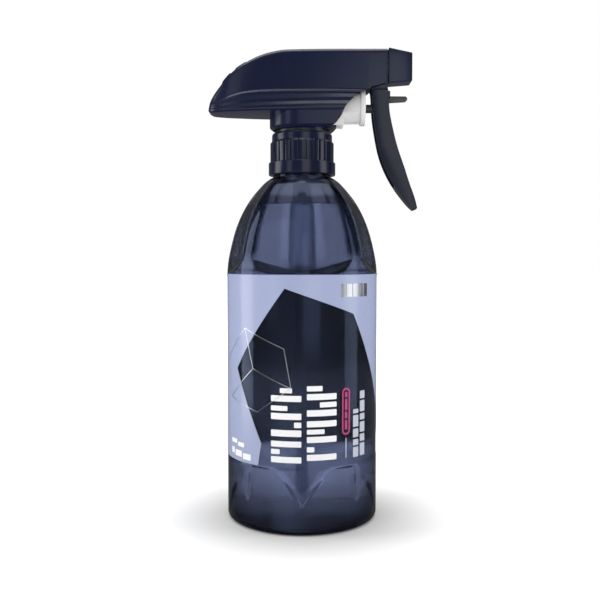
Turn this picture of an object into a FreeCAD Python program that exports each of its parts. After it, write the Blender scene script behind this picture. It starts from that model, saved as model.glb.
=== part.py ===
import FreeCAD, Part
import os, math
from FreeCAD import Vector as V

os.makedirs("parts", exist_ok=True)

# ---------------------------------------------------------------- driving dimensions (mm)
# Frame: origin at the centre of the bottle's foot, +Z up, +X towards the nozzle, symmetric about Y = 0.
BOTTLE_R = 35.95          # outside radius of the bottle above and below the label
PANEL_R = 35.78           # the label lies in a shallow recess
PANEL_C = 0.950           # a shoulder panel's distance from the axis over the ridge radius
WALL_LABEL = 1.05         # wall behind the label
SHOULDER_Z = 117.3        # where the label panel ends and the faceted shoulder starts
NECK_R = 12.5             # outside of the 28 mm neck
NECK_BORE_R = 10.9
NECK_TOP_Z = 180.2
THREAD_R = 13.7
THREAD_PITCH = 4.23
LABEL_Z = (30.8, 117.0)
LABEL_T = 0.10
COLLAR_Z = (163.6, 183.5)
COLLAR_RING_R = 15.95
COLLAR_RIB_R = 15.15
COLLAR_TOP_R = 14.36
COLLAR_RIBS = 28
CONNECTOR_R = 12.45
TUBE_R, TUBE_BORE_R = 2.5, 1.7
TUBE_Z = (5.0, 181.0)
PUMP_AXIS_Z = 196.0       # axis of the pump cylinder
PUMP_R, PUMP_BORE_R = 7.8, 5.9
FLANGE_R, FLANGE_X = 8.7, (27.7, 29.8)
ROD_Z = 195.4             # the piston rod's axis, a little under the cylinder's
OUTLET_Z = 214.2          # axis of the outlet barrel and nozzle
BARREL_R = 3.1
NOZZLE_X = (40.75, 51.9)
PIVOT = (35.5, 211.5)     # trigger pivot (x, z)
PIVOT_R = 1.4
TRIGGER_HALF = 5.4
SKIRT_R, SKIRT_CX, SKIRT_Z = 13.9, -1.5, 184.8
SHELL = 1.35              # wall of the shroud


def save(name, shape):
    s = shape
    if s.ShapeType != "Solid":
        assert len(s.Solids) == 1, (name, len(s.Solids))
        s = s.Solids[0]
    assert s.isValid(), name
    s.exportStep("parts/%s.step" % name)
    b = s.BoundBox
    print("%-20s %8.1f mm3  x %.2f..%.2f y %.2f..%.2f z %.2f..%.2f" % (
        name, s.Volume, b.XMin, b.XMax, b.YMin, b.YMax, b.ZMin, b.ZMax))
    return s


def revolve(pts):
    """Solid of revolution about Z from (r, z) corners."""
    w = Part.makePolygon([V(r, 0, z) for r, z in pts] + [V(pts[0][0], 0, pts[0][1])])
    return Part.Face(w).revolve(V(0, 0, 0), V(0, 0, 1), 360)


def revolve_edges(edges):
    return Part.Face(Part.Wire(edges)).revolve(V(0, 0, 0), V(0, 0, 1), 360)


def cyl(r, a, b, axis="Z", x=0.0, y=0.0, z=0.0):
    """Cylinder from a to b along an axis, through (x, y, z)."""
    if axis == "Z":
        return Part.makeCylinder(r, b - a, V(x, y, a), V(0, 0, 1))
    if axis == "X":
        return Part.makeCylinder(r, b - a, V(a, y, z), V(1, 0, 0))
    return Part.makeCylinder(r, b - a, V(x, a, z), V(0, 1, 0))


def box(x0, x1, y0, y1, z0, z1):
    return Part.makeBox(x1 - x0, y1 - y0, z1 - z0, V(x0, y0, z0))


def prism(pts, half, y0=0.0):
    """Extrude an (x, z) outline along Y over y0-half .. y0+half."""
    w = Part.makePolygon([V(x, y0 - half, z) for x, z in pts] + [V(pts[0][0], y0 - half, pts[0][1])])
    return Part.Face(w).extrude(V(0, 2 * half, 0))


def half_space(p, q, r, inside, size=200.0):
    """A big block on the side of the plane p-q-r that holds the point `inside`."""
    p, q, r, inside = V(*p), V(*q), V(*r), V(*inside)
    n = (q - p).cross(r - p)
    n.normalize()
    if n.dot(inside - p) < 0:
        n = n * -1
    b = Part.makeBox(size, size, size, V(-size / 2, -size / 2, 0))
    b.Placement = FreeCAD.Placement(p, FreeCAD.Rotation(V(0, 0, 1), n))
    return b


def polar(deg, r, z):
    """Point at an angle from the front (-Y), positive towards +X."""
    a = math.radians(deg)
    return (r * math.sin(a), -r * math.cos(a), z)


def interp(table, x):
    if x <= table[0][0]:
        return table[0][1]
    for (x0, y0), (x1, y1) in zip(table, table[1:]):
        if x <= x1:
            return y0 + (y1 - y0) * (x - x0) / (x1 - x0)
    return table[-1][1]


# ---------------------------------------------------------------- bottle
SHOULDER = [(35.95, 117.3), (35.72, 120.2), (35.35, 123.2), (34.8, 126.2), (34.15, 129.2), (33.1, 133.4),
            (31.9, 137.5), (30.3, 141.8), (28.3, 146.1), (25.9, 150.3), (22.8, 154.6), (20.3, 157.5),
            (17.6, 160.3), (15.6, 161.7)]


def shoulder_edge(scale=1.0, off=0.0):
    s = Part.BSplineCurve()
    s.interpolate([V(r * scale - off, 0, z) for r, z in SHOULDER])
    return s.toShape()


def line(a, b):
    return Part.makeLine(V(a[0], 0, a[1]), V(b[0], 0, b[1]))


def bottle():
    # outer body: foot ring, label panel, domed shoulder and neck
    foot = [(0, 4.2), (16.0, 3.6), (26.0, 1.6), (29.0, 0.0), (33.6, 0.0)]
    arc = Part.Arc(V(33.6, 0, 0), V(35.25, 0, 0.68), V(35.95, 0, 2.3)).toShape()
    edges = [line(a, b) for a, b in zip(foot, foot[1:])]
    panel = [(35.95, 2.3), (35.95, LABEL_Z[0] - 0.4), (PANEL_R, LABEL_Z[0] - 0.3), (PANEL_R, LABEL_Z[1] + 0.1), (35.95, SHOULDER_Z - 0.1), (35.95, SHOULDER_Z)]
    edges += [arc] + [line(a, b) for a, b in zip(panel, panel[1:])] + [shoulder_edge()]
    top = [(15.6, 161.7), (14.1, 162.5), (13.1, 162.7), (13.1, 164.2), (NECK_R, 164.9), (NECK_R, NECK_TOP_Z - 0.5),
           (NECK_R - 0.5, NECK_TOP_Z), (0, NECK_TOP_Z)]
    edges += [line(a, b) for a, b in zip(top, top[1:])]
    edges.append(line((0, NECK_TOP_Z), (0, 4.2)))
    body = revolve_edges(edges)
    # eight flat-faced shoulder panels between ridges 45 degrees apart; their lower ends make a chevron,
    # low at 0, 90, 180 and 270 degrees and high half way between
    tools = []
    for k in range(8):
        mid = 22.5 + 45.0 * k
        low, high = (mid - 22.5, mid + 22.5) if k % 2 == 0 else (mid + 22.5, mid - 22.5)
        sgn = 1.0 if high > low else -1.0
        prof = [(r * PANEL_C, z) for r, z in SHOULDER]
        spl = Part.BSplineCurve()
        spl.interpolate([V(r, -20, z) for r, z in prof])
        zt = prof[-1][1]
        e = [spl.toShape(), Part.makeLine(V(prof[-1][0], -20, zt), V(60, -20, zt)),
             Part.makeLine(V(60, -20, zt), V(60, -20, SHOULDER_Z)), Part.makeLine(V(60, -20, SHOULDER_Z), V(prof[0][0], -20, SHOULDER_Z))]
        t = Part.Face(Part.Wire(e)).extrude(V(0, 40, 0))
        # turn +X onto the panel's mid direction
        t.rotate(V(0, 0, 0), V(0, 0, 1), mid - 90.0)
        hs = half_space(polar(low + sgn * 2.0, 35.9, 117.6), polar(high - sgn * 3.0, 34.2, 126.6),
                        polar(low + sgn * 30.0, 36.2, 117.9), polar(mid, 60.0, 140.0))
        tools.append(t.common(hs))
    for t in tools:
        body = body.cut(t)
    # foot zone: the wall steps in 1 mm under a row of tongues and flares back out to the foot
    ring = revolve([(35.86, 2.6), (34.95, 22.0), (34.9, 30.2), (45, 30.2), (45, 2.6)])
    keep = []
    up = (0, 0, 60)
    for a0 in (0.0, 180.0):
        c = None
        for s in (1.0, -1.0):
            h = half_space(polar(a0 + s * 0.5, 35.95, 14.2), polar(a0 + s * 20.6, 35.95, 30.0),
                           polar(a0 + s * 41.4, 34.95, 28.6), up)
            c = h if c is None else c.common(h)
        quad = half_space((0, 0, 0), (1, 0, 0), (0, 0, 1), polar(a0, 10, 0))
        keep.append(c.common(quad).common(box(-60, 60, -60, 60, 0, 60)))
    for a0 in (0.0, 180.0):
        for s in (1.0, -1.0):
            side = half_space(polar(a0 + s * 42.0, 36, 28.0), polar(a0 + s * 44.2, 36, 13.7), (0, 0, 20), polar(a0 + s * 70.0, 36, 20))
            arm = half_space(polar(a0 + s * 45.2, 35.95, 14.6), polar(a0 + s * 70.0, 35.95, 28.3), polar(a0 + s * 70.0, 35.0, 26.3), up)
            cap = half_space(polar(a0 + s * 68.0, 35.95, 28.6), polar(a0 + s * 90.0, 35.95, 26.6), polar(a0 + s * 90.0, 34.93, 23.9), up)
            quad = half_space((0, 0, 0), (1, 0, 0), (0, 0, 1), polar(a0, 10, 0))
            q2 = half_space((0, 0, 0), (0, 1, 0), (0, 0, 1), polar(a0 + s * 90.0, 10, 0))
            region = side.common(quad).common(q2).common(box(-60, 60, -60, 60, 0, 60))
            keep += [region.common(arm), region.common(cap)]
    for kpt in keep:
        ring = ring.cut(kpt)
    body = body.cut(ring)
    # the 28 mm thread, one and a half turns
    helix = Part.makeHelix(THREAD_PITCH, THREAD_PITCH * 1.75, NECK_R - 0.25)
    helix.translate(V(0, 0, 168.0))
    r0, r1 = NECK_R - 0.25, THREAD_R
    tooth = Part.makePolygon([V(r0, 0, 167.0), V(r1, 0, 167.75), V(r1, 0, 168.25), V(r0, 0, 169.0), V(r0, 0, 167.0)])
    thread = Part.Wire(helix.Edges).makePipeShell([tooth], True, True)
    body = body.fuse(thread)
    # inside: one smooth cavity that leaves a wall of about a millimetre behind the panels
    inner_foot = [(0, 5.3), (15.6, 4.7), (25.6, 2.9), (28.9, 1.5), (32.2, 1.5), (34.0, 3.4), (BOTTLE_R - WALL_LABEL - 1.0, 20.0),
                  (BOTTLE_R - WALL_LABEL - 1.0, 29.0), (BOTTLE_R - WALL_LABEL, 34.0), (BOTTLE_R - WALL_LABEL, 109.0), (35.95 * PANEL_C - 0.9, 117.3)]
    edges = [line(a, b) for a, b in zip(inner_foot, inner_foot[1:])]
    edges.append(shoulder_edge(PANEL_C, 0.9))
    end = (15.6 * PANEL_C - 0.9, 161.7)
    itop = [end, (11.6, 163.6), (NECK_BORE_R, 165.0), (NECK_BORE_R, NECK_TOP_Z + 1), (0, NECK_TOP_Z + 1)]
    edges += [line(a, b) for a, b in zip(itop, itop[1:])]
    edges.append(line((0, NECK_TOP_Z + 1), (0, 5.3)))
    cavity = revolve_edges(edges)
    print("brimful ml", round(cavity.Volume / 1000.0, 1))
    return save("bottle", body.cut(cavity))


def label_wrap():
    r = BOTTLE_R
    return save("label_wrap", revolve([(r, LABEL_Z[0]), (r + LABEL_T, LABEL_Z[0]), (r + LABEL_T, LABEL_Z[1]), (r, LABEL_Z[1])]))


# ---------------------------------------------------------------- closure and inlet
def closure_collar():
    z0, z1 = COLLAR_Z
    outer = [line((14.0, z0), (COLLAR_RING_R - 0.3, z0)), line((COLLAR_RING_R - 0.3, z0), (COLLAR_RING_R, z0 + 0.3)),
             line((COLLAR_RING_R, z0 + 0.3), (COLLAR_RING_R, 169.3)), line((COLLAR_RING_R, 169.3), (COLLAR_RING_R - 0.3, 169.6)),
             line((COLLAR_RING_R - 0.3, 169.6), (COLLAR_RIB_R, 169.6)), line((COLLAR_RIB_R, 169.6), (COLLAR_RIB_R, 178.7)),
             line((COLLAR_RIB_R, 178.7), (COLLAR_TOP_R, 179.6)), line((COLLAR_TOP_R, 179.6), (COLLAR_TOP_R, z1 - 1.3)),
             Part.Arc(V(COLLAR_TOP_R, 0, z1 - 1.3), V(COLLAR_TOP_R - 0.38, 0, z1 - 0.38), V(COLLAR_TOP_R - 1.3, 0, z1)).toShape(),
             line((COLLAR_TOP_R - 1.3, z1), (12.55, z1)), line((12.55, z1), (12.55, 182.35)), line((12.55, 182.35), (13.35, 182.35)),
             line((13.35, 182.35), (13.35, 179.6)), line((13.35, 179.6), (14.0, 178.6)), line((14.0, 178.6), (14.0, z0))]
    body = revolve_edges(outer)
    cuts = []
    for k in range(COLLAR_RIBS):
        g = box(COLLAR_RIB_R - 0.55, COLLAR_RIB_R + 1, -0.38, 0.38, 169.6, 180.2)
        g.rotate(V(0, 0, 0), V(0, 0, 1), 360.0 * (k + 0.5) / COLLAR_RIBS)
        cuts.append(g)
    # the grooves run out against the smooth band at the top
    return save("closure_collar", body.cut(Part.makeCompound(cuts)))


def neck_gasket():
    return save("neck_gasket", revolve([(10.95, NECK_TOP_Z), (13.1, NECK_TOP_Z), (13.1, NECK_TOP_Z + 1.0), (10.95, NECK_TOP_Z + 1.0)]))


def neck_connector():
    z = NECK_TOP_Z + 1.0
    body = revolve([(8.9, z), (13.2, z), (13.2, 182.25), (CONNECTOR_R, 182.25), (CONNECTOR_R, 184.6), (11.3, 185.0), (11.3, 187.1),
                    (TUBE_R, 187.1), (TUBE_R, 172.0), (4.2, 172.0), (4.2, 184.0), (8.9, 184.0)])
    # two vent holes through the web let air back in
    for s in (1, -1):
        body = body.cut(cyl(0.8, 183, 189, "Z", 0, s * 7.4, 0))
    return save("neck_connector", body)


def dip_tube():
    body = cyl(TUBE_R, *TUBE_Z).cut(cyl(TUBE_BORE_R, TUBE_Z[0] - 1, TUBE_Z[1] + 1))
    # the foot of the tube is cut at an angle
    cut = prism([(-6, 4.0), (6, 4.0), (6, 8.2), (-6, 4.9)], 6)
    return save("dip_tube", body.cut(cut))


def inlet_valve_seat():
    return save("inlet_valve_seat", revolve([(1.3, 181.0), (TUBE_R, 181.0), (TUBE_R, 183.3), (1.62, 183.3), (1.3, 182.7)]))


BALL_R = 1.9
BALL_Z = 183.3 + math.sqrt(BALL_R ** 2 - 1.62 ** 2) + 0.03


def inlet_ball():
    return save("inlet_ball", Part.makeSphere(BALL_R, V(0, 0, BALL_Z)))


# ---------------------------------------------------------------- pump
def pump_body():
    z = PUMP_AXIS_Z
    body = box(-8.5, 19.6, -7.0, 7.0, 187.15, 203.0)
    body = body.fuse(box(-6.0, 6.0, -5.5, 5.5, 203.0, 217.2))
    body = body.fuse(cyl(PUMP_R, 10.0, FLANGE_X[0], "X", z=z))
    body = body.fuse(cyl(FLANGE_R, FLANGE_X[0], FLANGE_X[1], "X", z=z))
    body = body.fuse(cyl(BARREL_R, 5.0, 40.3, "X", z=OUTLET_Z))
    # web between the barrel and the cylinder, and the trigger's pivot pins
    body = body.fuse(box(5.0, 24.0, -1.1, 1.1, 202.0, 212.5))
    body = body.fuse(cyl(PIVOT_R, -4.65, 4.65, "Y", x=PIVOT[0], z=PIVOT[1]))
    body = body.removeSplitter()
    # bores: pump chamber, inlet, transfer, outlet-valve chamber, outlet, stem socket
    cuts = [cyl(PUMP_BORE_R, 12.5, 31.0, "X", z=z), cyl(1.3, 187.0, 207.5), cyl(1.3, 0.0, 13.0, "X", z=z),
            cyl(2.45, 207.0, 217.3), cyl(1.3, 0.0, 41.0, "X", z=OUTLET_Z), cyl(2.4, 34.0, 41.0, "X", z=OUTLET_Z),
            cyl(0.9, 187.0, 190.5, "Z", 16.0, 0, 0)]
    for c in cuts:
        body = body.cut(c)
    return save("pump_body", body)


def riser_plug():
    return save("riser_plug", revolve([(0, 215.9), (2.45, 215.9), (2.45, 217.2), (4.2, 217.2), (4.2, 218.3), (0, 218.3)]))


def outlet_valve():
    # a poppet that lifts off the seat at the foot of its chamber
    return save("outlet_valve", revolve([(0, 206.3), (1.0, 206.3), (1.15, 207.03), (2.3, 207.03), (2.3, 208.3), (1.1, 208.3), (1.1, 209.6), (0, 209.6)]))


def coil(radius, wire, z0, z1, turns):
    """A closed-end compression spring about Z between z0 and z1."""
    h = (z1 - z0) - 2 * wire
    pitch = h / turns
    helix = Part.makeHelix(pitch, h, radius)
    helix.translate(V(0, 0, z0 + wire))
    prof = Part.Wire(Part.makeCircle(wire, V(radius, 0, z0 + wire), V(0, 1, 0)))
    return Part.Wire(helix.Edges).makePipeShell([prof], True, True)


def outlet_spring():
    return save("outlet_spring", coil(1.65, 0.2, 208.35, 215.85, 6))


def piston_rod():
    # round rod, a flat head inside the trigger's channel, and a tongue that shows in front of the trigger
    rod = cyl(2.0, 22.9, 35.5, "X", z=ROD_Z)
    head = box(34.4, 38.5, -2.2, 2.2, 193.4, 201.2)
    tongue = prism([(38.0, 198.1), (49.3, 198.75), (50.1, 199.5), (50.1, 200.3), (49.4, 201.1), (38.0, 201.2)], 1.3)
    hub = cyl(3.4, 20.6, 23.0, "X", z=PUMP_AXIS_Z)
    return save("piston_rod", rod.fuse(head).fuse(tongue).fuse(hub).removeSplitter())


def piston_cup():
    # soft cup seal behind the rod's hub, open towards the chamber
    pts = [(0, 17.4), (4.2, 17.4), (5.0, 16.6), (5.0 + 0.5, 16.6), (5.84, 16.9), (5.84, 18.2), (5.3, 18.8), (5.3, 20.6), (0, 20.6)]
    s = revolve(pts)
    s.rotate(V(0, 0, 0), V(0, 1, 0), 90)
    s.translate(V(0, 0, PUMP_AXIS_Z))
    return save("piston_cup", s)


def vent_seal():
    # ring round the piston's hub that uncovers the vent as the trigger is pulled
    s = revolve([(3.4, 20.6), (5.6, 20.6), (5.84, 20.9), (5.84, 22.0), (5.2, 22.4), (3.4, 22.4)])
    s.rotate(V(0, 0, 0), V(0, 1, 0), 90)
    s.translate(V(0, 0, PUMP_AXIS_Z))
    return save("vent_seal", s)


def return_spring():
    s = coil(3.5, 0.4, 12.52, 17.36, 2.6)
    s.rotate(V(0, 0, 0), V(0, 1, 0), 90)
    s.translate(V(0, 0, PUMP_AXIS_Z))
    return save("return_spring", s)


def stop_tab():
    # dark tab clipped over the top of the cylinder's flange; the trigger's cheeks pass either side of it
    body = box(29.82, 33.0, -2.9, 2.9, 203.3, 204.9).fuse(box(29.82, 30.9, -2.9, 2.9, 202.2, 203.4))
    return save("stop_tab", body.removeSplitter())


def base_clip():
    # dark clip under the front of the pump body, over the collar
    return save("base_clip", prism([(11.45, 187.1), (11.45, 185.2), (12.75, 184.8), (13.2, 184.65), (16.3, 186.5), (16.3, 187.1)], 4.5))


# ---------------------------------------------------------------- nozzle
def nozzle_stem():
    z = OUTLET_Z
    s = cyl(2.4, 34.0, 40.35, "X", z=z).fuse(cyl(4.0, 40.35, 48.3, "X", z=z))
    s = s.cut(cyl(0.8, 33.0, 46.6, "X", z=z)).cut(cyl(2.6, 46.5, 49.0, "X", z=z))
    ring = cyl(4.3, 43.0, 44.1, "X", z=z).cut(cyl(3.2, 42.0, 45.0, "X", z=z))
    return save("nozzle_stem", s.cut(ring))


def nozzle_seal():
    t = Part.makeTorus(3.62, 0.4, V(43.55, 0, OUTLET_Z), V(1, 0, 0))
    return save("nozzle_seal", t)


def swirl_insert():
    z = OUTLET_Z
    s = cyl(2.6, 46.5, 48.3, "X", z=z)
    for k in range(3):
        g = box(46.4, 48.4, 1.5, 3.0, -0.35, 0.35)
        g.rotate(V(0, 0, 0), V(1, 0, 0), 120 * k)
        g.translate(V(0, 0, z))
        s = s.cut(g)
    return save("swirl_insert", s.cut(cyl(0.8, 47.6, 48.4, "X", z=z)))


def square_section(x, hy, zlo, zhi):
    return Part.makePolygon([V(x, -hy, zlo), V(x, hy, zlo), V(x, hy, zhi), V(x, -hy, zhi), V(x, -hy, zlo)])


def nozzle_cap():
    a, b = NOZZLE_X
    s = Part.makeLoft([square_section(a, 6.0, 206.85, 222.95), square_section(b, 5.6, 207.65, 220.7)], True, True)
    z = OUTLET_Z
    s = s.cut(cyl(4.06, a - 1, 49.0, "X", z=z)).cut(cyl(2.3, 48.5, 53.0, "X", z=z))
    return save("nozzle_cap", s)


def orifice_disc():
    z = OUTLET_Z
    s = cyl(2.3, 49.2, b_x(), "X", z=z)
    s = s.cut(cyl(0.3, 48.0, 53.0, "X", z=z)).cut(Part.makeCone(0.3, 1.3, 1.2, V(b_x() - 1.2, 0, z), V(1, 0, 0)))
    return save("orifice_disc", s)


def b_x():
    return NOZZLE_X[1] - 0.3


# ---------------------------------------------------------------- trigger
TRIG_REAR = [(32.6, 204.3), (32.8, 203.2), (33.4, 194.4), (34.95, 182.7), (37.1, 172.8), (40.4, 164.4), (44.6, 157.2), (49.0, 151.4), (51.6, 148.5), (53.2, 147.1)]
TRIG_FRONT = [(39.9, 206.2), (40.4, 204.2), (40.8, 202.0), (40.95, 199.7), (41.2, 194.3), (42.1, 189.0), (43.7, 182.0), (45.9, 174.5), (48.4, 167.5), (50.9, 160.0), (53.6, 152.6), (54.55, 149.0)]


def smooth_edge(pts, y):
    s = Part.BSplineCurve()
    s.interpolate([V(x, y, z) for x, z in pts])
    return s.toShape()


def trig_profile(front, rear, half):
    """Closed outline from a front curve and a rear curve, both top to bottom, extruded across."""
    # a rounded tip joins the two
    tip = Part.Arc(V(front[-1][0], -half, front[-1][1]), V(54.35, -half, 147.45), V(rear[-1][0], -half, rear[-1][1])).toShape()
    e = [smooth_edge(front, -half), tip,
         smooth_edge(rear[::-1], -half), Part.makeLine(V(rear[0][0], -half, rear[0][1]), V(front[0][0], -half, front[0][1]))]
    return Part.Face(Part.Wire(e)).extrude(V(0, 2 * half, 0))


def trigger():
    body = trig_profile(TRIG_FRONT, TRIG_REAR, TRIGGER_HALF)
    # narrower towards the tip, seen from the front
    taper = Part.Face(Part.makePolygon([V(20, -5.4, 210), V(20, 5.4, 210), V(20, 5.35, 185), V(20, 4.3, 146), V(20, -4.3, 146), V(20, -5.35, 185), V(20, -5.4, 210)])).extrude(V(50, 0, 0))
    body = body.common(taper)
    # channel open to the rear
    inner_front = [(x - 1.5, z + (3.0 if i == 0 else 0.0)) for i, (x, z) in enumerate(TRIG_FRONT[:10])]
    inner_rear = [(x - 4.0, z + (4.5 if i == 0 else 0.0)) for i, (x, z) in enumerate(TRIG_REAR[:7])]
    pts = inner_front + inner_rear[::-1]
    body = body.cut(prism(pts, 4.0))
    # arms up to the pivot
    for s in (1, -1):
        y = s * 4.075
        arm = prism([(33.5, 202.6), (38.8, 203.6), (37.7, 210.5), (33.2, 210.5)], 0.575, y)
        arm = arm.fuse(cyl(2.5, y - 0.575, y + 0.575, "Y", x=PIVOT[0], z=PIVOT[1]))
        body = body.fuse(arm)
    # lip at the front under the nozzle, and the pad that pushes the piston's head
    body = body.fuse(box(40.4, 41.7, -3.9, 3.9, 199.9, 203.2))
    body = body.fuse(box(38.8, 40.4, -2.0, 2.0, 194.1, 196.7))
    body = body.cut(cyl(PIVOT_R + 0.06, -8, 8, "Y", x=PIVOT[0], z=PIVOT[1]))
    body = body.cut(box(37.0, 44.0, -1.75, 1.75, 196.9, 202.9))
    return save("trigger", body.removeSplitter())


# ---------------------------------------------------------------- shroud
ZT = [(-44.5, 196.5), (-43.6, 198.6), (-42, 201.4), (-39, 205.4), (-34, 211.25), (-27, 216.2), (-18, 220.2), (-13, 221.4), (-8, 222.1), (4, 222.35), (16, 222.5), (28, 222.65), (40.5, 222.85)]
WT = [(-44.5, 1.3), (-43.6, 2.6), (-42, 3.4), (-39, 4.3), (-34, 5.3), (-27, 6.3), (-18, 7.2), (-8, 7.8), (4, 8.0), (16, 7.7), (28, 6.9), (40.5, 5.9)]
WH = [(-44.5, 2.0), (-43.6, 3.6), (-42, 4.8), (-39, 6.0), (-34, 7.3), (-27, 8.4), (-18, 9.3), (-8, 9.7), (4, 9.7), (16, 9.1), (28, 7.9), (40.5, 6.4)]
WR = [(-44.5, 3.2), (-43.6, 5.2), (-42, 6.9), (-39, 8.6), (-34, 10.2), (-27, 11.8), (-18, 13.3), (-8, 14.4), (4, 14.8), (16, 14.6), (28, 13.0), (40.5, 9.0)]
ZR1 = [(-44.5, 195.3), (-42, 196.4), (-39, 197.5), (-34, 199.4), (-27, 201.0), (-18, 201.6), (-8, 201.7), (40.5, 201.9)]
ZR2 = [(-44.5, 194.7), (-42, 195.4), (-39, 196.0), (-34, 196.8), (-27, 197.5), (-18, 197.8), (-8, 197.95), (16, 198.5), (40.5, 198.8)]
ZR3 = [(-44.5, 194.1), (-42, 193.9), (-39, 193.9), (-34, 194.1), (-27, 194.35), (-18, 194.6), (-8, 194.8), (4, 195.0), (40.5, 195.3)]
ZRIM = [(-44.5, 193.5), (-43.6, 193.0), (-42, 192.6), (40.5, 192.5)]
S_CURVE = [(10.6, 184.3), (13.4, 185.3), (15.7, 186.9), (18.0, 189.9), (19.9, 193.9), (22.2, 197.05), (25.1, 199.6), (27.6, 201.5), (32.2, 203.9), (32.35, 204.55), (40.4, 206.65)]


def section(x):
    """Half of the shroud's outer section at x: (y, z) from the top centre to the underside."""
    zt, wt, wh, wr = interp(ZT, x), interp(WT, x), interp(WH, x), interp(WR, x)
    z1, z2, z3, zr = interp(ZR1, x), interp(ZR2, x), interp(ZR3, x), interp(ZRIM, x)
    d = wr - wh
    g = min(1.0, (zt - z1) / 4.0)
    return [(0, zt + 0.2), (wt * 0.72, zt), (wt, zt - min(1.4, 0.35 * (zt - z1))), (wh, z1 + 0.9 * g), (wh + 0.32 * d, z1),
            (wh + 0.36 * d, z1 - 0.35 * (z1 - z2)), (wh + 0.64 * d, z2), (wh + 0.68 * d, z2 - 0.4 * (z2 - z3)), (wh + 0.97 * d, z3),
            (wr, zr + 0.45 * (z3 - zr)), (wr - 0.7, zr)]


def ring_wire(x, half):
    pts = [V(x, y, z) for y, z in half] + [V(x, -y, z) for y, z in half[:0:-1]]
    return Part.makePolygon(pts + [pts[0]])


def inner_section(x):
    o = section(x)
    w = SHELL
    zt, z1 = o[0][1], o[4][1]
    top = zt - 0.2 - w
    return [(0, top), (max(o[1][0] - w * 0.6, 0.4), top), (max(o[2][0] - w, 0.8), max(o[2][1] - w, z1 + 0.2)), (max(o[3][0] - w, 1.2), z1 + 0.1),
            (max(o[8][0] - w - 0.3, 1.6), interp(ZR3, x) + 0.2), (max(o[9][0] - w - 0.3, 1.6), interp(ZRIM, x) + w)]


def shroud():
    xs = [-44.5, -43.6, -42, -39, -36.5, -34, -30.5, -27, -22.5, -18, -13, -8, 4, 16, 28, 40.4]
    outer = Part.makeLoft([ring_wire(x, section(x)) for x in xs], True, True)
    xi = [-41.0, -39, -34, -27, -18, -8, 4, 16, 28, 38.9]
    inner = Part.makeLoft([ring_wire(x, inner_section(x)) for x in xi], True, True)
    # D-shaped skirt round the connector: round at the rear, straight sides to the front
    def dee(r, z0, z1, xf):
        c = Part.makeCylinder(r, z1 - z0, V(SKIRT_CX, 0, z0))
        return c.fuse(box(SKIRT_CX, xf, -r, r, z0, z1)).removeSplitter()
    skirt = dee(SKIRT_R, SKIRT_Z, 193.2, 24.0)
    chamf = Part.makeCone(SKIRT_R - 1.6, SKIRT_R, 1.3, V(SKIRT_CX, 0, SKIRT_Z)).fuse(box(SKIRT_CX, 24, -SKIRT_R, SKIRT_R, SKIRT_Z, SKIRT_Z + 1.3))
    skirt = skirt.common(chamf.fuse(box(-40, 40, -40, 40, SKIRT_Z + 1.3, 200)))
    body = outer.fuse(skirt)
    body = body.cut(inner)
    body = body.cut(dee(SKIRT_R - 1.5, SKIRT_Z - 1, 194.6, 30.0))
    # front edge: an S from the skirt up to the underside of the nozzle end
    cut = prism([(10.6, 180)] + S_CURVE + [(46, 206.65), (46, 180)], 30)
    body = body.cut(cut)
    # opening for the barrel in the front wall
    body = body.cut(cyl(4.3, 38, 42, "X", z=OUTLET_Z))
    # two raised thumb grips on the rear of the dome
    for a, b in ((-38.2, -33.6), (-32.0, -26.2)):
        n = 6
        xs2 = [a + (b - a) * i / n for i in range(n + 1)]
        up = [(x, interp(ZT, x) + 0.65) for x in xs2]
        dn = [(x, interp(ZT, x) - 0.8) for x in xs2]
        body = body.fuse(prism(up + dn[::-1], 3.4))
    return save("shroud", body.removeSplitter())


if __name__ == "__main__" or True:
    bottle()
    label_wrap()
    closure_collar()
    neck_gasket()
    neck_connector()
    dip_tube()
    inlet_valve_seat()
    inlet_ball()
    pump_body()
    riser_plug()
    outlet_valve()
    outlet_spring()
    piston_rod()
    piston_cup()
    vent_seal()
    return_spring()
    stop_tab()
    base_clip()
    nozzle_stem()
    nozzle_seal()
    swirl_insert()
    nozzle_cap()
    orifice_disc()
    trigger()
    shroud()
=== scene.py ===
import math
import bmesh
import bpy
import numpy as np
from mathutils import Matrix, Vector
from mathutils.bvhtree import BVHTree
from mathutils.geometry import delaunay_2d_cdt


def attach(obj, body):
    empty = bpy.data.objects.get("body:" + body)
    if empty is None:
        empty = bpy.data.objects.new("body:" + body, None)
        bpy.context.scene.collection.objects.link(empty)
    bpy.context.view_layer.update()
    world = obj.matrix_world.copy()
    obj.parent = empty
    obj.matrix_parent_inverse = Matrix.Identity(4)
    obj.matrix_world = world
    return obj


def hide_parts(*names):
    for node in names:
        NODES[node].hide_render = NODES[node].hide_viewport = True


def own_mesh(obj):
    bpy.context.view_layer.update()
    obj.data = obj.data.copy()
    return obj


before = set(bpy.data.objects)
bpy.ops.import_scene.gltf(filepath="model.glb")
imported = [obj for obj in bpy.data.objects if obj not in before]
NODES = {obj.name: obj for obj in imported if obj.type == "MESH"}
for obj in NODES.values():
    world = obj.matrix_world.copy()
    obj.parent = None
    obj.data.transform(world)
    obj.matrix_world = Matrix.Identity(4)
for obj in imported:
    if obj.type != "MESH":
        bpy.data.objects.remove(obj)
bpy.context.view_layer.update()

MM = 0.001


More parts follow.
